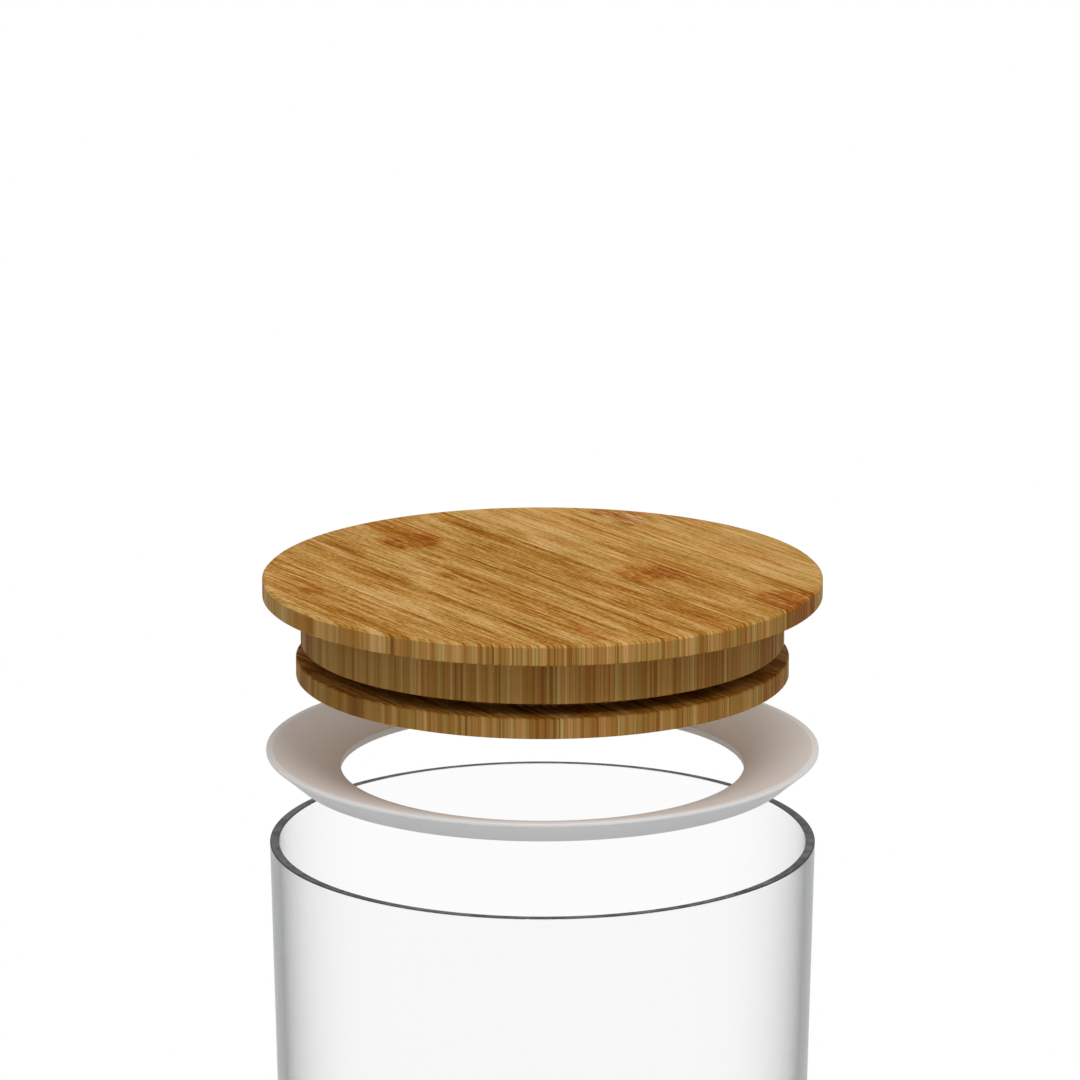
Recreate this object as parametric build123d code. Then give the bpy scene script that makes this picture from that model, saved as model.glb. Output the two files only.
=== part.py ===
from build123d import *
import math
import os

# Sourdough starter jar, taken apart along its axis: an open glass jar, a
# bamboo lid held up above its mouth, and the silicone seal of the lid between
# them. The lid is a board of upright bamboo strips glued side by side and
# turned on a lathe, and each strip is a solid of its own.
# Millimetres, +Z up, origin at the middle of the jar's foot.

# Glass jar
rim_radius = 50.0           # outside of the glass at the rim
jar_height = 150.0
glass_wall = 1.75           # measured level, all the way up the side
side_lean = 1.16            # degrees that the side leans in towards the foot
glass_floor = 4.5
heel_rounding = 9.0         # outside rounding from the foot to the side
rim_rounding_share = 0.15   # eased edges of the flat rim, of the wall's thickness

# Bamboo lid, in tiers from the top down
lid_overhang = 0.9          # the disc stands this far outside the glass
disc_thickness = 3.65
neck_gap = 4.25             # between the upper tier and the mouth of the jar
neck_height = 8.8
groove_height = 2.4
groove_depth = 7.4          # in from the neck to the core that holds the seal
flange_gap = 3.35           # between the lower tier and the mouth of the jar
flange_thickness = 3.7
top_edge_bevel = 0.4
tier_edge_bevel = 0.2

# Bamboo strips of the lid, split by glue lines at shares of the disc's radius
strip_turn = 33.5           # degrees from +X to the way across the strips
glue_line_shares = [-0.905, -0.684, -0.468, -0.25, -0.018, 0.2, 0.424, 0.642, 0.858]

# Silicone seal
seal_on_core = 0.3          # clearance round the core of the lid
seal_hole_height = 1.3
seal_lip_height = 4.75      # from the flat underside to the lip
seal_foot_width = 8.7       # flat underside, out from the hole
seal_squeeze = 2.25         # free lip past the mouth of the jar
seal_lip_width = 1.2        # level band along the lip
seal_lip_edge = 0.5         # upright edge of the lip
seal_edge_rounding = 0.15

# How far apart the pieces are held
lid_raised = 46.25          # underside of the disc above the rim
seal_lowered = 22.25        # underside of the seal below its seat in the lid

cut_overrun = 2.0

# Sizes that follow
lean_share = math.tan(math.radians(side_lean))
mouth_radius = rim_radius - glass_wall
disc_radius = rim_radius + lid_overhang
neck_radius = mouth_radius - neck_gap
core_radius = neck_radius - groove_depth
flange_radius = mouth_radius - flange_gap
disc_underside = jar_height + lid_raised
disc_top = disc_underside + disc_thickness
neck_underside = disc_underside - neck_height
flange_top = neck_underside - groove_height
lid_underside = flange_top - flange_thickness
seal_hole_radius = core_radius + seal_on_core
seal_underside = flange_top - seal_lowered


def turned(corners, eased, ease=fillet):
    """Turn half a section about +Z, with some of its corners eased."""
    section = make_face(Polyline(*corners, close=True))
    for corner, size in eased:
        nearest = section.vertices().sort_by_distance((*corner, 0))[0]
        section = ease(nearest, size)
    return revolve(Plane.XZ * section, Axis.Z)


def glass_jar():
    """The jar, blown in one piece, with its side leaning in a little."""
    outer_foot = (rim_radius - jar_height * lean_share, 0)
    outer_rim = (rim_radius, jar_height)
    inner_rim = (mouth_radius, jar_height)
    inner_drop = jar_height - glass_floor
    inner_foot = (mouth_radius - inner_drop * lean_share, glass_floor)
    corners = [(0, 0), outer_foot, outer_rim, inner_rim, inner_foot, (0, glass_floor)]
    rim_rounding = glass_wall * rim_rounding_share
    roundings = [
        (outer_foot, heel_rounding),
        (outer_rim, rim_rounding),
        (inner_rim, rim_rounding),
        (inner_foot, heel_rounding - glass_wall),
    ]
    return turned(corners, roundings)


def turned_lid():
    """The whole lid as it comes off the lathe."""
    disc_edge = (disc_radius, disc_top)
    tier_corners = [
        (disc_radius, disc_underside),
        (neck_radius, neck_underside),
        (flange_radius, flange_top),
        (flange_radius, lid_underside),
    ]
    disc_low, neck_low, flange_high, flange_low = tier_corners
    corners = [
        (0, disc_top),
        disc_edge,
        disc_low,
        (neck_radius, disc_underside),
        neck_low,
        (core_radius, neck_underside),
        (core_radius, flange_top),
        flange_high,
        flange_low,
        (0, lid_underside),
    ]
    bevels = [(disc_edge, top_edge_bevel)]
    bevels += [(corner, tier_edge_bevel) for corner in tier_corners]
    return turned(corners, bevels, ease=chamfer)


def lid_strips():
    """The strips of the lid, each cut from the turned lid between glue lines."""
    lid = turned_lid()
    side = disc_radius + cut_overrun
    lines = [-side, *[share * disc_radius for share in glue_line_shares], side]
    height = disc_top - lid_underside + 2 * cut_overrun
    middle = (disc_top + lid_underside) / 2
    strips = []
    for near, far in zip(lines, lines[1:]):
        slab = Pos((near + far) / 2, 0, middle) * Box(far - near, 2 * side, height)
        strips.append(lid & Rot(0, 0, strip_turn) * slab)
    return strips


def silicone_seal():
    """The seal: a dished ring, thin at the hole, with a level lip outside."""
    lip_radius = mouth_radius + seal_squeeze
    lip_top = seal_underside + seal_lip_height
    foot_edge = (seal_hole_radius + seal_foot_width, seal_underside)
    lip_high = (lip_radius, lip_top)
    lip_low = (lip_radius, lip_top - seal_lip_edge)
    corners = [
        (seal_hole_radius, seal_underside),
        foot_edge,
        lip_low,
        lip_high,
        (lip_radius - seal_lip_width, lip_top),
        (seal_hole_radius, seal_underside + seal_hole_height),
    ]
    outer_edges = [foot_edge, lip_low, lip_high]
    return turned(corners, [(corner, seal_edge_rounding) for corner in outer_edges])


parts = {"glass_jar": glass_jar(), "silicone_seal": silicone_seal()}
for number, strip in enumerate(lid_strips(), start=1):
    parts[f"lid_strip_{number}"] = strip

os.makedirs("parts", exist_ok=True)
for name, solid in parts.items():
    export_step(solid, f"parts/{name}.step")
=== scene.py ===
import math

import bmesh
import bpy
from mathutils import Matrix, Vector


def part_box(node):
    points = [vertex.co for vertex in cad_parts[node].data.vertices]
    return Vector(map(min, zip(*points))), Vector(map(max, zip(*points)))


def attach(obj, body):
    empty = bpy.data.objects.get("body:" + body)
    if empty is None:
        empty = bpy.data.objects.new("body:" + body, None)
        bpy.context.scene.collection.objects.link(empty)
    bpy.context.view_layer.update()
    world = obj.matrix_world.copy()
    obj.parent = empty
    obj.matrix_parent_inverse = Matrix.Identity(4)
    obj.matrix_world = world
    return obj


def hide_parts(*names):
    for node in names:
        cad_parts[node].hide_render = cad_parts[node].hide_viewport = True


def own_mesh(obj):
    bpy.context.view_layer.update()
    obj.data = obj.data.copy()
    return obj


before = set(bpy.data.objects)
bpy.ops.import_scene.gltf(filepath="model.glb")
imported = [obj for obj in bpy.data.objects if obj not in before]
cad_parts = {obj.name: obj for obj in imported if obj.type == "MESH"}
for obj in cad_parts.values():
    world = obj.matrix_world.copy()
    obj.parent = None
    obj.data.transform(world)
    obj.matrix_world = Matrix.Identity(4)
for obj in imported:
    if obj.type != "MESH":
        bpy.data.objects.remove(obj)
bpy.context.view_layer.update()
mm = 0.001
full_turn = 2 * math.pi

# The camera stands in front of the jar and looks down on it a little. It is
# far off, with a long lens, so that the sides of the jar stay nearly upright.
camera_away = 1078.5 * mm        # from the jar's axis, on the floor plan
camera_height = 476.1 * mm
camera_aside = -0.45 * mm
camera_dip = math.radians(14.052)
camera_lens = 204.3              # millimetres, on a sensor 36 mm wide
camera_sees = 20.0               # metres

camera = bpy.data.objects.new("camera", bpy.data.cameras.new("camera"))
camera.data.lens = camera_lens
camera.data.clip_end = camera_sees
camera.location = (camera_aside, -camera_away, camera_height)
camera.rotation_euler = (math.pi / 2 - camera_dip, 0, 0)
bpy.context.scene.collection.objects.link(camera)
bpy.context.scene.camera = camera

# The jar is blown in one piece from clear glass, with a side that leans in a
# little towards the foot, a thick floor and a flat rim with eased edges.
jar_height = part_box("glass_jar")[1].z
rim_radius = 50.0 * mm
glass_wall = 1.75 * mm
glass_floor = 4.5 * mm
side_lean = math.tan(math.radians(1.16))
heel_rounding = 9.0 * mm
rim_rounding = 0.26 * mm
rounding_steps = 10
rounding_margin = 0.2            # straight run beside a rounding, as a share of it
jar_steps = 360
crease = math.radians(30)        # sharper edges than this aren't shaded smooth
glass_bend = 1.47                # index of refraction
clear_outside = (0.955, 0.955, 0.955, 1)
clear_inside = (0.985, 0.985, 0.985, 1)
# The glass's edge colours are painted shade: darker where the glass is seen along its surface.
painted_edge_shade_outside = (0.09, 0.09, 0.092, 1)     # painted shade, where the outside is seen along its surface
painted_edge_shade_inside = (0.39, 0.39, 0.395, 1)
# The rim's flat gets a painted mottle of shade and reflection, darker than clear glass.
rim_painted_pale = (0.60, 0.60, 0.60, 1)
rim_painted_dark = (0.08, 0.08, 0.08, 1)
rim_painted_mottle = 350.0               # patches of painted light and shade in a metre
rim_through = 0.82               # the rim lets a little less through, so that its painted mottle shows
# The rim's outer eased edge is painted near black: painted shade.
rim_edge_painted_dark = (0.005, 0.005, 0.005, 1)
level_rim = 0.99                 # the rise of a normal on the rim's flat
sloping_rim = 0.65               # and on the upper part of its eased edges


def eased(corners):
    """Points of an outline whose corners are (radius, height, rounding)."""
    points = []
    for index, (radius, height, rounding) in enumerate(corners):
        corner = Vector((radius, height))
        if not rounding:
            points.append(corner)
            continue
        back = (Vector(corners[index - 1][:2]) - corner).normalized()
        ahead = (Vector(corners[(index + 1) % len(corners)][:2]) - corner).normalized()
        half_corner = back.angle(ahead) / 2
        middle = corner + (back + ahead).normalized() * rounding / math.sin(half_corner)
        first = corner + back * rounding / math.tan(half_corner) - middle
        last = corner + ahead * rounding / math.tan(half_corner) - middle
        turn = first.angle_signed(last)
        points.append(middle + first + back * rounding * rounding_margin)
        for step in range(rounding_steps + 1):
            arm = first.copy()
            arm.rotate(Matrix.Rotation(-turn * step / rounding_steps, 2))
            points.append(middle + arm)
        points.append(middle + last + ahead * rounding * rounding_margin)
    return points


def turned(name, outline, steps, start=0.0, sweep=full_turn):
    """A mesh object: an outline of (radius, height) turned about the jar's axis."""
    whole = sweep == full_turn
    mesh = bmesh.new()
    on_axis = {
        index: mesh.verts.new((0, 0, point[1]))
        for index, point in enumerate(outline)
        if not point[0]
    }
    columns = []
    for step in range(steps if whole else steps + 1):
        angle = start + sweep * step / steps
        across, along = math.cos(angle), math.sin(angle)
        columns.append([
            on_axis.get(index) or mesh.verts.new((radius * across, radius * along, height))
            for index, (radius, height) in enumerate(outline)
        ])
    if whole:
        columns.append(columns[0])
    for near, far in zip(columns, columns[1:]):
        for index in range(len(outline)):
            corners = [near[index - 1], near[index], far[index], far[index - 1]]
            corners = list(dict.fromkeys(corners))
            if len(corners) > 2:
                mesh.faces.new(corners)
    if not whole:
        mesh.faces.new(columns[0])
        mesh.faces.new(columns[-1])
    bmesh.ops.recalc_face_normals(mesh, faces=mesh.faces)
    data = bpy.data.meshes.new(name)
    mesh.to_mesh(data)
    mesh.free()
    data.shade_smooth()
    data.set_sharp_from_angle(angle=crease)
    made = bpy.data.objects.new(name, data)
    bpy.context.scene.collection.objects.link(made)
    return made


def put(tree, kind, sockets=(), **settings):
    """Add a shader node, with its settings, and fill or link its sockets."""
    made = tree.nodes.new("ShaderNode" + kind)
    for name, value in settings.items():
        setattr(made, name, value)
    for name, value in dict(sockets).items():
        if isinstance(value, bpy.types.NodeSocket):
            tree.links.new(value, made.inputs[name])
        else:
            made.inputs[name].default_value = value
    return made


def new_material(name):
    """An empty material with its node tree."""
    made = bpy.data.materials.new(name)
    made.use_nodes = True
    made.node_tree.nodes.clear()
    return made, made.node_tree


def finish_material(tree, shader):
    """Send a shader to the material's output."""
    put(tree, "OutputMaterial", {"Surface": shader})


def clear_glass(name, colour, dark=None, starts=0.0, ends=1.0, power=1.0, mottle=None, through=1.0):
    """Glass of one colour, or with painted shade where it is seen along its surface, or with a painted mottle
    of light and shade.
    """
    made, tree = new_material(name)
    # Painted shade: darker towards the glass's grazing edges, or in painted mottles on the rim.
    if dark:
        if mottle:
            place = put(tree, "TexCoord").outputs["Object"]
            shade = put(tree, "TexNoise", {"Vector": place, "Scale": mottle}).outputs[0]
        else:
            shade = put(tree, "LayerWeight", {"Blend": 0.5}).outputs["Facing"]
        reach = put(tree, "MapRange", {"Value": shade, "From Min": starts, "From Max": ends})
        share = put(tree, "Math", {0: reach.outputs["Result"], 1: power}, operation="POWER")
        tint = {"Factor": share.outputs[0], "A": colour, "B": dark}
        colour = put(tree, "Mix", tint, data_type="RGBA").outputs[2]
    body = put(tree, "BsdfPrincipled", {
        "Base Color": colour,
        "Roughness": 0.0,
        "IOR": glass_bend,
        "Transmission Weight": through,
    })
    open_to_lamps = put(tree, "BsdfTransparent", {"Color": clear_inside})
    shadow = put(tree, "LightPath").outputs["Is Shadow Ray"]
    mixed = put(tree, "MixShader", {0: shadow, 1: body.outputs[0], 2: open_to_lamps.outputs[0]})
    finish_material(tree, mixed.outputs[0])
    return made


inner_foot = rim_radius - glass_wall - (jar_height - glass_floor) * side_lean
jar_outline = eased([
    (0, 0, 0),
    (rim_radius - jar_height * side_lean, 0, heel_rounding),
    (rim_radius, jar_height, rim_rounding),
    (rim_radius - glass_wall, jar_height, rim_rounding),
    (inner_foot, glass_floor, heel_rounding - glass_wall),
    (0, glass_floor, 0),
])
jar = turned("jar_glass", jar_outline, jar_steps)
glasses = [
    clear_glass("glass outside", clear_outside, painted_edge_shade_outside, starts=0.22, ends=0.75, power=2.6),
    clear_glass("glass inside", clear_inside, painted_edge_shade_inside, starts=0.2, ends=0.95, power=2.0),
    clear_glass(
        "glass rim", rim_painted_pale, rim_painted_dark, starts=0.4, ends=0.6, mottle=rim_painted_mottle, through=rim_through
    ),
    clear_glass("glass rim edge", rim_edge_painted_dark),
]
outside, inside, rim, painted_dark_edge = range(len(glasses))
for glass in glasses:
    jar.data.materials.append(glass)
for face in jar.data.polygons:
    outward = face.normal.x * face.center.x + face.normal.y * face.center.y
    on_rim = face.center.z > jar_height - rim_rounding
    if on_rim and face.normal.z > level_rim:
        face.material_index = rim
    elif on_rim and face.normal.z > sloping_rim and outward > 0:
        face.material_index = painted_dark_edge
    elif outward < 0 or (face.normal.z > 0 and face.center.z > glass_floor / 2):
        face.material_index = inside
    else:
        face.material_index = outside
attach(jar, "jar")
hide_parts("glass_jar")

# The seal is one moulding of off-white silicone, a dish with a wide hole and a
# level lip. It grips the lid's groove, and its lip is built as a ring of sectors.
seal_low, seal_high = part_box("silicone_seal")
seal_foot = seal_low.z
seal_hole_radius = 36.9 * mm
seal_split_radius = 44.1 * mm    # just outside the neck of the lid, where the grip ends
seal_foot_radius = 45.6 * mm
seal_lip_radius = 50.5 * mm
seal_lip_width = 1.2 * mm
seal_lip_edge = 0.5 * mm
seal_hole_height = 1.3 * mm
seal_height = seal_high.z - seal_foot
seal_edge_rounding = 0.15 * mm
seat_clearance = 0.1 * mm        # kept between the seal and the lid's lower tier
seal_steps = 360
lip_sectors = 36
silicone_painted_bounce = (0.87, 0.83, 0.80)         # inside the dish, with painted warm light bounced off the bamboo above
silicone_pale = (0.875, 0.86, 0.85)        # along the lip and outside
silicone_roughness = (0.46, 0.54)          # from its smooth to its dull patches
silicone_gloss = 0.3
skin_grain = 900.0               # bumps in a metre
skin_strength = 0.05
skin_depth = 0.2 * mm
silicone_clouds = 60.0           # patches in a metre
silicone_tones = (0.97, 1.03)


def silicone(name, body_colour):
    """Matt, slightly soft-looking silicone with a fine moulded skin."""
    made, tree = new_material(name)
    place = put(tree, "TexCoord").outputs["Object"]
    skin = put(tree, "TexNoise", {"Vector": place, "Scale": skin_grain, "Detail": 3.0})
    bump = put(tree, "Bump", {
        "Height": skin.outputs[0],
        "Strength": skin_strength,
        "Distance": skin_depth,
    })
    clouds = put(tree, "TexNoise", {"Vector": place, "Scale": silicone_clouds, "Detail": 2.0})
    darkest, palest = silicone_tones
    tone = put(tree, "MapRange", {"Value": clouds.outputs[0], "To Min": darkest, "To Max": palest})
    colour = put(tree, "VectorMath", {0: body_colour, "Scale": tone.outputs[0]}, operation="SCALE")
    smooth, dull = silicone_roughness
    rough = put(tree, "MapRange", {"Value": clouds.outputs[0], "To Min": smooth, "To Max": dull})
    body = put(tree, "BsdfPrincipled", {
        "Base Color": colour.outputs[0],
        "Roughness": rough.outputs[0],
        "Specular IOR Level": silicone_gloss,
        "Normal": bump.outputs[0],
    })
    finish_material(tree, body.outputs[0])
    return made


dish_slope = (seal_height - seal_hole_height) / (seal_lip_radius - seal_lip_width - seal_hole_radius)
split_height = seal_hole_height + dish_slope * (seal_split_radius - seal_hole_radius)
seal_grip_outline = eased([
    (seal_hole_radius, seal_foot, seal_edge_rounding),
    (seal_split_radius, seal_foot, 0),
    (seal_split_radius, seal_foot + split_height, 0),
    (seal_hole_radius, seal_foot + seal_hole_height, seal_edge_rounding),
])
seal_lip_outline = eased([
    (seal_split_radius, seal_foot + seat_clearance, 0),
    (seal_foot_radius, seal_foot + seat_clearance, seal_edge_rounding),
    (seal_lip_radius, seal_foot + seal_height - seal_lip_edge, seal_edge_rounding),
    (seal_lip_radius, seal_foot + seal_height, seal_edge_rounding),
    (seal_lip_radius - seal_lip_width, seal_foot + seal_height, seal_edge_rounding),
    (seal_split_radius, seal_foot + split_height, 0),
])
# The dish's warmer colour is painted light, bounced off the bamboo lid above it.
bounce_tinted_silicone = silicone("silicone dish", silicone_painted_bounce)
pale_silicone = silicone("silicone lip", silicone_pale)


def clad(piece):
    """Give a piece of the seal its silicone, with painted warm bounce light in the dish."""
    piece.data.materials.append(bounce_tinted_silicone)
    piece.data.materials.append(pale_silicone)
    for face in piece.data.polygons:
        on_lip = face.center.xy.length > seal_lip_radius - seal_lip_width
        face.material_index = 1 if on_lip or face.normal.z < 0 else 0


seal_grip = turned("seal_grip", seal_grip_outline, seal_steps)
clad(seal_grip)
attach(seal_grip, "seal")
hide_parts("silicone_seal")
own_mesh(seal_grip)
sector_sweep = full_turn / lip_sectors
for sector in range(lip_sectors):
    start = sector * sector_sweep
    lip = turned(f"seal_lip_{sector + 1}", seal_lip_outline, seal_steps // lip_sectors, start, sector_sweep)
    clad(lip)
    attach(lip, "seal")
    outward = Vector((math.cos(start + sector_sweep / 2), math.sin(start + sector_sweep / 2), 0))
    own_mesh(lip)

# The lid is a board of upright bamboo strips, glued side by side and turned in
# one piece. Its fibres and growth nodes run straight down through all tiers.
strip_turn = math.radians(33.5)  # from +X to the way across the strips
disc_radius = 50.9               # millimetres, as all lengths of the bamboo's pattern are
glue_line_shares = [-0.905, -0.684, -0.468, -0.25, -0.018, 0.2, 0.424, 0.642, 0.858]
bamboo_tones = {                 # how pale the wood is, and its colour there
    0.0: (0.230, 0.060, 0.000, 1),
    0.3: (0.340, 0.132, 0.006, 1),
    0.6: (0.460, 0.231, 0.049, 1),
    1.0: (0.670, 0.395, 0.155, 1),
}
bamboo_olive = (0.96, 1.045, 1.00, 1)     # multiplies the colour where the wood is least red
bamboo_red = (1.06, 0.90, 0.76, 1)
glue_line = 0.22                 # half the width of a glue line, with its soft edges
glue_darkness = 0.45
rising_edge = 1.0                # a strip is paler beside its first glue line and
edge_tone = 0.12                 # darker beside its last
bamboo_roughness = (0.72, 0.58)  # from the hollows between the fibres to their tops
fibre_heights = (1.1, 1.9)       # of those hollows and tops
bamboo_gloss = 0.06
fibre_strength = 0.35
fibre_depth = 0.06 * mm
bundle_rise = 2.0                # how much a bundle stands out against a fibre
level_limits = (0.2, 0.8)        # the rise of a normal, from a turned side to a flat face
side_grain = 0.68                # how much of the grain shows on the turned sides
side_painted_shade = 0.84                # painted shade: the turned sides are darker, as less light falls on them
side_haze = (0.018, 0.027, 0.018)         # and a little grey is added to them
groove_floor = 3.7 * mm          # above the lid's underside
groove_reach = (0.3 * mm, 0.6 * mm)       # off that floor
groove_painted_shade = 0.86              # painted shade: the floor of the groove is darkened, as little light reaches it

# Noise drawn out along the fibres: how many patches it has in a millimetre
# across them, how many along, and a seed that sets it off from the others.
board_shades = (0.22, 0.020, 1.0)
fibre_bundles = (0.90, 0.030, 2.0)
fine_fibres = (2.6, 0.080, 3.0)
stains = (0.20, 0.028, 4.0)
dark_dashes = (2.5, 0.060, 5.0)
pale_dashes = (2.5, 0.070, 6.0)
specks = (2.6, 0.80, 7.0)
dark_lines = (1.4, 0.010, 9.0)
frayed_ends = (1.2, 0.10, 11.0)
node_dots = (1.0, 0.45, 12.0)
side_hues = (0.70, 0.030, 13.0)
torn_skin = (1.9, 0.20, 14.0)
strip_offset = 7.3               # sets the noise of one strip off from that of the next

# What they do to the wood, and between which values of the noise.
board_weight = 0.9
bundle_weight = 0.6
fine_weight = 1.35
speck_weight = 0.9
dash_limits = (0.60, 0.66)
dash_weight = 0.36
line_limits = (0.66, 0.72)
line_weight = 0.25
stain_limits = (0.46, 0.62)
stain_weight = 0.10
flat_redness = 0.2
stain_redness = 0.3
side_hue_limits = (0.36, 0.64)
reddest_side = 0.85
fray_weight = 1.2
patch_limits = (0.45, 1.1)       # shares of a patch's reach, from whole to gone
dot_limits = (0.42, 0.56)
dot_tones = (-0.8, 1.0)
torn_limits = (0.50, 0.62)


def shader_group(name, given, made):
    """A shader node group: its tree, its input sockets and its output node."""
    group = bpy.data.node_groups.new(name, "ShaderNodeTree")
    for label, kind, value in given:
        socket = group.interface.new_socket(label, in_out="INPUT", socket_type="NodeSocket" + kind)
        socket.default_value = value
    for label, kind in made:
        group.interface.new_socket(label, in_out="OUTPUT", socket_type="NodeSocket" + kind)
    return group, group.nodes.new("NodeGroupInput").outputs, group.nodes.new("NodeGroupOutput").inputs


def sums(tree, operation, first, second):
    """The outcome of a sum with two numbers or sockets."""
    return put(tree, "Math", {0: first, 1: second}, operation=operation).outputs[0]


def share_between(tree, value, low, high, to_low=0.0, to_high=1.0):
    """How far a value has come from low to high, smoothly, as a number from to_low to to_high."""
    sockets = {"Value": value, "From Min": low, "From Max": high, "To Min": to_low, "To Max": to_high}
    return put(tree, "MapRange", sockets, interpolation_type="SMOOTHSTEP").outputs[0]


def varied(tree, value, noise, weight):
    """A value made larger and smaller by noise around 0.5."""
    return sums(tree, "ADD", value, sums(tree, "MULTIPLY", sums(tree, "SUBTRACT", noise, 0.5), weight))


def blended(tree, share, first, second, **settings):
    """Two colours blended by a share."""
    sockets = {"Factor": share, "A": first, "B": second}
    return put(tree, "Mix", sockets, data_type="RGBA", **settings).outputs[2]


def fibres(tree, place, grain, detail=2.0):
    """Noise around 0.5, drawn out along the second axis."""
    across_per_mm, along_per_mm, seed = grain
    drawn = put(tree, "VectorMath", {0: place, 1: (across_per_mm, along_per_mm, 1)}, operation="MULTIPLY")
    seeded = put(tree, "VectorMath", {0: drawn.outputs[0], 1: (0, 0, seed)}, operation="ADD")
    return put(tree, "TexNoise", {"Vector": seeded.outputs[0], "Scale": 1.0, "Detail": detail}).outputs[0]


def bamboo_fibre():
    """Tone of one strip between two glue lines, with its fibres along the second axis."""
    group, given, output = shader_group(
        "bamboo fibre",
        [
            ("Place", "Vector", (0, 0, 0)),
            ("Start", "Float", 0.0),
            ("End", "Float", 1.0),
            ("Paleness", "Float", 0.5),
            ("Rise", "Float", 0.0),
            ("Contrast", "Float", 1.0),
            ("Turned Side", "Float", 0.0),
        ],
        [("Tone", "Float"), ("Redness", "Float"), ("Height", "Float")],
    )
    place = given["Place"]
    side = given["Turned Side"]
    bundles = fibres(group, place, fibre_bundles)
    fine = fibres(group, place, fine_fibres)
    darker = share_between(group, fibres(group, place, dark_dashes, 1.0), *dash_limits, 0.0, dash_weight)
    paler = share_between(group, fibres(group, place, pale_dashes, 1.0), *dash_limits, 0.0, dash_weight)
    grain = varied(group, sums(group, "SUBTRACT", paler, darker), fine, fine_weight)
    grain = varied(group, grain, fibres(group, place, specks, 1.0), speck_weight)
    grain = sums(group, "MULTIPLY", grain, share_between(group, side, 0.0, 1.0, 1.0, side_grain))
    tone = varied(group, grain, fibres(group, place, board_shades), board_weight)
    tone = varied(group, tone, bundles, bundle_weight)
    stain = share_between(group, fibres(group, place, stains), *stain_limits)
    lines = share_between(group, fibres(group, place, dark_lines, 0.0), *line_limits, 0.0, line_weight)
    marks = sums(group, "ADD", sums(group, "MULTIPLY", stain, stain_weight), lines)
    tone = sums(group, "SUBTRACT", tone, marks)
    tone = sums(group, "ADD", given["Paleness"], sums(group, "MULTIPLY", tone, given["Contrast"]))
    set_out = put(group, "SeparateXYZ", {0: place}).outputs
    tone = sums(group, "ADD", tone, sums(group, "MULTIPLY", set_out["Y"], given["Rise"]))
    flat_hue = sums(group, "ADD", sums(group, "MULTIPLY", stain, stain_redness), flat_redness)
    side_hue = share_between(group, fibres(group, place, side_hues), *side_hue_limits, 0.0, reddest_side)
    redness = put(group, "Mix", {"Factor": side, "A": flat_hue, "B": side_hue}).outputs["Result"]
    from_start = sums(group, "SUBTRACT", set_out["X"], given["Start"])
    to_end = sums(group, "SUBTRACT", given["End"], set_out["X"])
    tone = sums(group, "ADD", tone, share_between(group, from_start, glue_line, rising_edge, edge_tone, 0.0))
    tone = sums(group, "SUBTRACT", tone, share_between(group, to_end, glue_line, rising_edge, edge_tone, 0.0))
    nearest = sums(group, "MINIMUM", from_start, to_end)
    line = share_between(group, nearest, 0.0, glue_line, glue_darkness, 0.0)
    raised = sums(group, "ADD", sums(group, "MULTIPLY", bundles, bundle_rise), fine)
    group.links.new(sums(group, "SUBTRACT", tone, line), output["Tone"])
    group.links.new(redness, output["Redness"])
    group.links.new(sums(group, "SUBTRACT", raised, line), output["Height"])
    return group


def bamboo_colour():
    """The colour of bamboo of a given tone: the darker it is, the redder."""
    group, given, output = shader_group(
        "bamboo colour",
        [("Tone", "Float", 0.5), ("Redness", "Float", 0.5)],
        [("Colour", "Color")],
    )
    ramp = put(group, "ValToRGB", {"Fac": given["Tone"]})
    stops = ramp.color_ramp.elements
    for tone in list(bamboo_tones)[1:-1]:
        stops.new(tone)
    for stop, colour in zip(stops, bamboo_tones.values()):
        stop.color = colour
    hue = blended(group, given["Redness"], bamboo_olive, bamboo_red)
    group.links.new(blended(group, 1.0, ramp.outputs["Color"], hue, blend_type="MULTIPLY"), output["Colour"])
    return group


def patch_mask(tree, place, middle, reach):
    """1 in the middle of a patch with frayed ends, and 0 past its reach."""
    off = put(tree, "VectorMath", {0: place, 1: middle}, operation="SUBTRACT")
    off = put(tree, "VectorMath", {0: off.outputs[0], 1: reach}, operation="DIVIDE")
    off = put(tree, "VectorMath", {0: off.outputs[0], 1: (1, 1, 0)}, operation="MULTIPLY")
    away = put(tree, "VectorMath", {0: off.outputs[0]}, operation="LENGTH").outputs["Value"]
    away = varied(tree, away, fibres(tree, place, frayed_ends), fray_weight)
    return share_between(tree, away, *patch_limits, 1.0, 0.0)


def bamboo_patch():
    """A patch of another tone with frayed ends, such as a growth node or a pale streak."""
    group, given, output = shader_group(
        "bamboo patch",
        [
            ("Tone", "Float", 0.5),
            ("Redness", "Float", 0.5),
            ("Place", "Vector", (0, 0, 0)),
            ("Middle", "Vector", (0, 0, 0)),
            ("Reach", "Vector", (1, 1, 1)),
            ("Paler", "Float", -0.2),
            ("Dots", "Float", 0.0),
        ],
        [("Tone", "Float"), ("Redness", "Float")],
    )
    place = given["Place"]
    mask = patch_mask(group, place, given["Middle"], given["Reach"])
    speckle = share_between(group, fibres(group, place, node_dots), *dot_limits, *dot_tones)
    speckle = sums(group, "MULTIPLY", speckle, given["Dots"])
    paler = sums(group, "MULTIPLY", given["Paler"], sums(group, "ADD", 1.0, speckle))
    redder = sums(group, "MULTIPLY", mask, given["Dots"])
    group.links.new(sums(group, "ADD", given["Tone"], sums(group, "MULTIPLY", mask, paler)), output["Tone"])
    group.links.new(sums(group, "ADD", given["Redness"], redder), output["Redness"])
    return group


fibre_group = bamboo_fibre()
patch_group = bamboo_patch()
colour_group = bamboo_colour()
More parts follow.
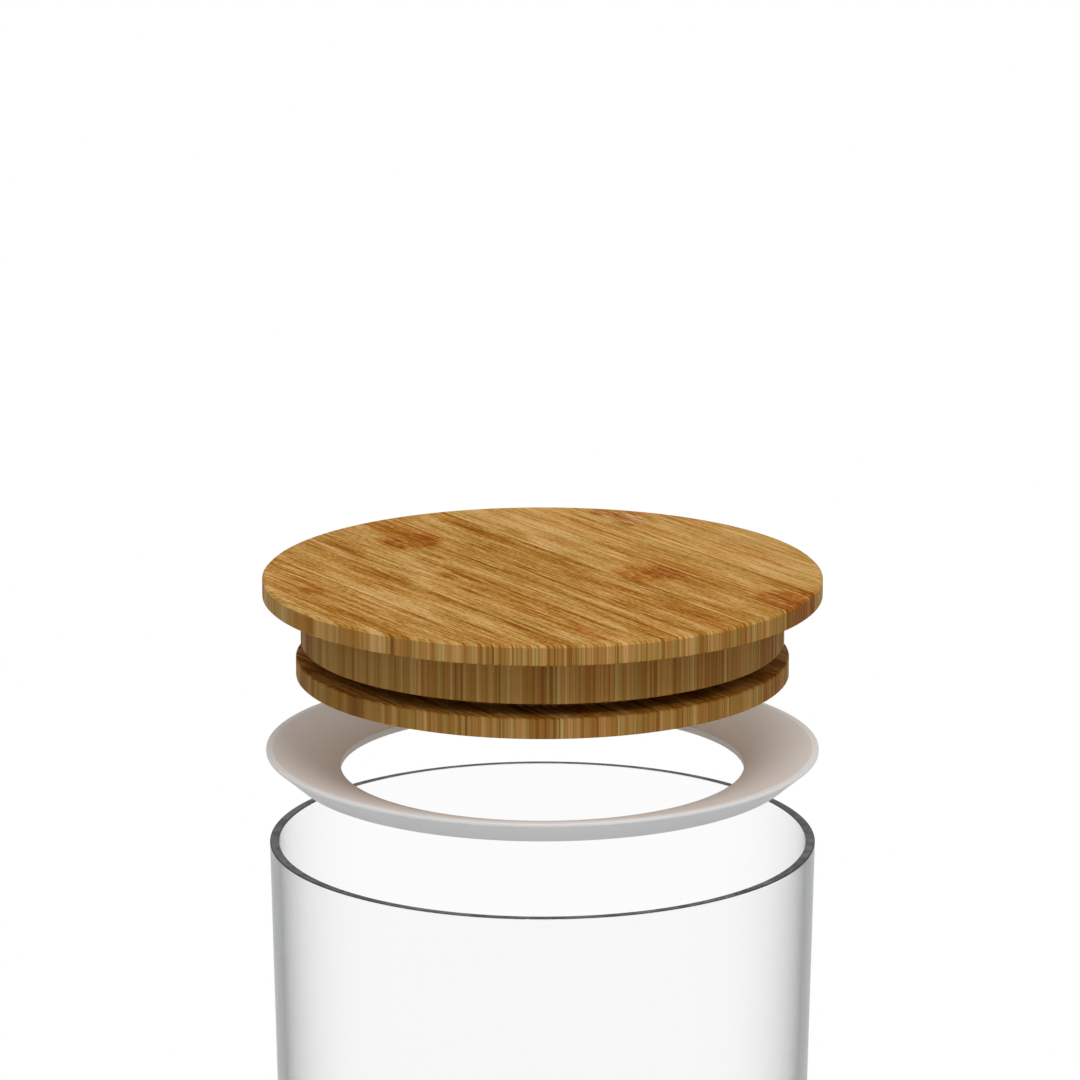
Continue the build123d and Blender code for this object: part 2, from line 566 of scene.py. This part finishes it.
# For each strip: how pale it is, how much paler it gets in a millimetre along,
# and how strong its fibres are. Then its patches, with their place and reach
# across and along the strip, how much paler or darker they are, and their dots.
strip_looks = [
    (0.80, 0.0, 1.0, [(-47.6, 0, 1.2, 14, -0.25, 0), (-49.6, -11, 2.2, 12, -0.20, 0)]),
    (0.57, 0.001, 1.0, [
        (-45.4, 16.7, 0.9, 4, -0.30, 0),
        (-41.4, 13, 2.2, 3.5, -0.20, 0.2),
        (-36.7, 8, 1.2, 16, -0.15, 0),
        (-40, -21.8, 4, 12, -0.12, 0),
        (-44.7, -4.4, 1, 9, -0.2, 0),
    ]),
    (0.66, 0.0, 1.0, [
        (-33, 3.6, 1.8, 26, 0.15, 0),
        (-24.7, 13, 1.4, 9, -0.3, 0),
        (-24.5, -22, 1.3, 26, -0.30, 0),
        (-25.8, -40, 1.6, 9, -0.2, 0),
    ]),
    (0.64, 0.0, 1.0, [
        (-20, 37, 0.6, 8, -0.3, 0),
        (-22.9, 13, 1.2, 6, -0.3, 0),
        (-23.1, -24, 1.0, 22, -0.25, 0),
        (-15.3, 8.7, 1.8, 4.5, -0.3, 0.3),
        (-13.4, 18, 0.8, 6, -0.25, 0),
        (-21.8, -11, 0.6, 30, 0.15, 0),
        (-16, -40, 3.2, 9, -0.2, 0.3),
        (-14.5, -27.6, 1.2, 9, -0.15, 0),
    ]),
    (0.66, 0.0, 0.9, [
        (-4.2, 44, 4.5, 9, -0.18, 0.3),
        (-6.8, 33.3, 12, 6.2, -0.26, 0.6),
        (-11, 32.7, 1.6, 3.2, -0.2, 0.3),
        (-3.0, 33.0, 2.0, 4.5, -0.16, 0.3),
        (-9.1, 21.8, 0.7, 6, -0.2, 0),
        (-12.3, 3.6, 0.5, 20, -0.25, 0),
        (-7.3, -18, 0.6, 12, 0.15, 0),
        (-7.3, -36, 0.6, 12, -0.2, 0),
        (-1.3, -7, 0.7, 12, -0.2, 0),
        (-1.5, -40, 0.7, 7, -0.2, 0),
    ]),
    (0.57, 0.002, 1.0, [
        (0.9, 45, 0.7, 5, 0.2, 0),
        (7.3, 33.4, 3.0, 13, -0.2, 0),
        (9.1, 16, 1.6, 16, -0.2, 0),
        (7.3, 7.3, 1.3, 10, -0.15, 0),
        (7.3, -35, 3.0, 14, -0.2, 0.2),
        (0.9, -19, 1.0, 5, 0.15, 0),
    ]),
    (0.68, 0.0035, 0.9, [
        (12.4, 19.6, 2.8, 11, 0.12, 0),
        (13.5, 18, 0.5, 8, 0.25, 0),
        (18, 3.6, 0.5, 7, 0.25, 0),
        (19.8, 5.8, 0.4, 6, 0.2, 0),
        (15.9, -10.7, 12, 7.5, -0.22, 0.6),
        (19.5, -12, 2.4, 6.0, -0.12, 0.4),
        (19.6, -20, 3.0, 9, -0.18, 0.2),
        (10.9, -10.9, 1.4, 3, -0.16, 0.3),
        (10.7, -20, 0.8, 14, -0.2, 0),
    ]),
    (0.70, 0.005, 0.8, [
        (30.9, -24, 1.8, 14, -0.15, 0),
        (27.1, -41.0, 12, 8.5, -0.26, 0.5),
        (26.4, -41.7, 1.2, 2.5, -0.1, 1.2),
        (27.6, -24, 0.6, 9, 0.2, 0),
        (22.2, 32, 0.5, 9, -0.15, 0),
    ]),
    (0.72, 0.0, 0.7, [
        (33.7, 23.0, 1.3, 3, -0.30, 0.3),
        (36.0, 28.0, 7, 7.5, -0.16, 0.35),
        (36.4, 28.5, 1.0, 3, -0.20, 0.3),
        (34.5, 33, 1.8, 3.5, -0.20, 0.3),
        (33.1, 5.8, 0.6, 12, 0.2, 0),
    ]),
    (0.72, 0.004, 0.7, [
        (46.9, 4.4, 0.6, 6, 0.2, 0),
        (47.2, 12.4, 0.5, 3, -0.2, 0),
    ]),
]
skin_strip = 9                   # whitish skin is left on this strip at one growth node
skin_colour = (0.60, 0.375, 0.185, 1)
skin_middle = (36.2, 27.5, 0)
skin_reach = (4.2, 8.5, 1)


def bamboo(number, start, end, paleness, rise, contrast, patches):
    """One strip of bamboo between two glue lines."""
    made, tree = new_material(f"bamboo strip {number}")
    place = put(tree, "Mapping", {
        "Vector": put(tree, "TexCoord").outputs["Object"],
        "Location": (0, 0, strip_offset * number),
        "Rotation": (0, 0, -strip_turn),
        "Scale": (1 / mm, 1 / mm, 0),
    }, vector_type="POINT").outputs[0]
    upright = put(tree, "SeparateXYZ", {0: put(tree, "TexCoord").outputs["Normal"]}).outputs["Z"]
    side = share_between(tree, sums(tree, "ABSOLUTE", upright, 0.0), *level_limits, 1.0, 0.0)
    fibre = put(tree, "Group", node_tree=fibre_group)
    tree.links.new(side, fibre.inputs["Turned Side"])
    tree.links.new(place, fibre.inputs["Place"])
    fibre.inputs["Start"].default_value = start
    fibre.inputs["End"].default_value = end
    fibre.inputs["Paleness"].default_value = paleness
    fibre.inputs["Rise"].default_value = rise
    fibre.inputs["Contrast"].default_value = contrast
    tone, redness = fibre.outputs["Tone"], fibre.outputs["Redness"]
    for across, along, reach_across, reach_along, paler, dots in patches:
        patch = put(tree, "Group", node_tree=patch_group)
        tree.links.new(tone, patch.inputs["Tone"])
        tree.links.new(redness, patch.inputs["Redness"])
        tree.links.new(place, patch.inputs["Place"])
        patch.inputs["Middle"].default_value = (across, along, 0)
        patch.inputs["Reach"].default_value = (reach_across, reach_along, 1)
        patch.inputs["Paler"].default_value = paler
        patch.inputs["Dots"].default_value = dots
        tone, redness = patch.outputs["Tone"], patch.outputs["Redness"]
    wood = put(tree, "Group", node_tree=colour_group)
    tree.links.new(tone, wood.inputs["Tone"])
    tree.links.new(redness, wood.inputs["Redness"])
    colour = wood.outputs["Colour"]
    if number == skin_strip:
        torn = share_between(tree, fibres(tree, place, torn_skin), *torn_limits)
        skin = sums(tree, "MULTIPLY", patch_mask(tree, place, skin_middle, skin_reach), torn)
        colour = blended(tree, skin, colour, skin_colour)
    # Painted shade: the groove's floor and the turned sides are made darker, and the sides get a little grey.
    height = put(tree, "SeparateXYZ", {0: put(tree, "TexCoord").outputs["Object"]}).outputs["Z"]
    off_groove = sums(tree, "ABSOLUTE", sums(tree, "SUBTRACT", height, groove_height), 0.0)
    groove_painted_dark = share_between(tree, off_groove, *groove_reach, groove_painted_shade, 1.0)
    shade = put(tree, "Mix", {"Factor": side, "A": groove_painted_dark, "B": side_painted_shade}).outputs["Result"]
    shaded = put(tree, "VectorMath", {0: colour, "Scale": shade}, operation="SCALE")
    haze = put(tree, "VectorMath", {0: side_haze, "Scale": side}, operation="SCALE")
    painted_shade_colour = put(tree, "VectorMath", {0: shaded.outputs[0], 1: haze.outputs[0]}, operation="ADD")
    bump = put(tree, "Bump", {
        "Height": fibre.outputs["Height"],
        "Strength": fibre_strength,
        "Distance": fibre_depth,
    })
    rough = share_between(tree, fibre.outputs["Height"], *fibre_heights, *bamboo_roughness)
    body = put(tree, "BsdfPrincipled", {
        "Base Color": painted_shade_colour.outputs[0],
        "Roughness": rough,
        "Specular IOR Level": bamboo_gloss,
        "Normal": bump.outputs[0],
    })
    finish_material(tree, body.outputs[0])
    return made


groove_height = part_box("lid_strip_5")[0].z + groove_floor
glue_lines = [-disc_radius, *[share * disc_radius for share in glue_line_shares], disc_radius]
for number, (start, end, looks) in enumerate(zip(glue_lines, glue_lines[1:], strip_looks), start=1):
    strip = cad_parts[f"lid_strip_{number}"]
    strip.data.materials.clear()
    strip.data.materials.append(bamboo(number, start, end, *looks))

# A pale floor and a studio sky that is brightest overhead, with a wide soft
# lamp in front on the right. Whatever looks at them straight, or through
# glass, sees plain white.
floor_size = 30.0                # metres, as all lengths of the stage are
floor_below = 0.0001             # the jar's foot
shadow_reach = 0.17
floor_blend = 0.25
floor_colour = (0.96, 0.96, 0.96, 1)
floor_bounce = (0.70, 0.72, 0.73, 1)     # as the floor lights the jar and the lid
sky_low = 0.10
sky_high = 0.93
white_in_gloss = 0.15            # share of plain white in what a gloss shows
lamp_power = 8.4
lamp_size = 0.75
lamp_away = 1.6
lamp_right = math.radians(14)    # from straight in front
lamp_up = math.radians(61)


def seen_straight(tree):
    """1 for rays that reach the eye straight or through glass, less for those off a gloss."""
    path = put(tree, "LightPath").outputs
    unscattered = sums(tree, "SUBTRACT", 1.0, sums(tree, "MINIMUM", path["Diffuse Depth"], 1.0))
    through_glass = sums(tree, "MULTIPLY", path["Is Transmission Ray"], unscattered)
    straight = sums(tree, "MAXIMUM", path["Is Camera Ray"], through_glass)
    return sums(tree, "MAXIMUM", straight, sums(tree, "MULTIPLY", path["Is Glossy Ray"], white_in_gloss))


def floor_material():
    """Matt floor that shades near the jar and is plain white farther off."""
    made, tree = new_material("floor")
    place = put(tree, "TexCoord").outputs["Object"]
    away = put(tree, "VectorMath", {0: place}, operation="LENGTH").outputs["Value"]
    straight = seen_straight(tree)
    white_share = sums(tree, "MULTIPLY", share_between(tree, away, shadow_reach, floor_blend), straight)
    matt = put(tree, "BsdfDiffuse", {"Color": blended(tree, straight, floor_bounce, floor_colour)})
    white = put(tree, "Emission", {"Strength": 1.0})
    mixed = put(tree, "MixShader", {0: white_share, 1: matt.outputs[0], 2: white.outputs[0]})
    finish_material(tree, mixed.outputs[0])
    return made


floor_corners = [(x * floor_size, y * floor_size, 0) for x, y in ((-1, -1), (1, -1), (1, 1), (-1, 1))]
floor_data = bpy.data.meshes.new("floor")
floor_data.from_pydata(floor_corners, [], [(0, 1, 2, 3)])
floor = bpy.data.objects.new("floor", floor_data)
floor.data.materials.append(floor_material())
floor.location.z = -floor_below
bpy.context.scene.collection.objects.link(floor)

world = bpy.data.worlds.new("studio")
world.use_nodes = True
tree = world.node_tree
tree.nodes.clear()
height = put(tree, "SeparateXYZ", {0: put(tree, "TexCoord").outputs["Generated"]}).outputs["Z"]
sky_strength = put(tree, "MapRange", {"Value": height, "To Min": sky_low, "To Max": sky_high}).outputs[0]
sky = put(tree, "Background", {"Strength": sky_strength})
sky.inputs["Color"].default_value = (1, 1, 1, 1)
backdrop = put(tree, "Background", {"Color": (1, 1, 1, 1), "Strength": 1.0})
both = put(tree, "MixShader", {0: seen_straight(tree), 1: sky.outputs[0], 2: backdrop.outputs[0]})
put(tree, "OutputWorld", {"Surface": both.outputs[0]})
bpy.context.scene.world = world

lamp_place = lamp_away * Vector((
    math.cos(lamp_up) * math.sin(lamp_right),
    -math.cos(lamp_up) * math.cos(lamp_right),
    math.sin(lamp_up),
))
lamp = bpy.data.objects.new("soft_lamp", bpy.data.lights.new("soft_lamp", "AREA"))
lamp.data.energy = lamp_power
lamp.data.shape = "DISK"
lamp.data.size = lamp_size
lamp.location = lamp_place
lamp.rotation_euler = lamp_place.to_track_quat("Z", "Y").to_euler()
bpy.context.scene.collection.objects.link(lamp)

bpy.context.scene.view_settings.view_transform = "Standard"
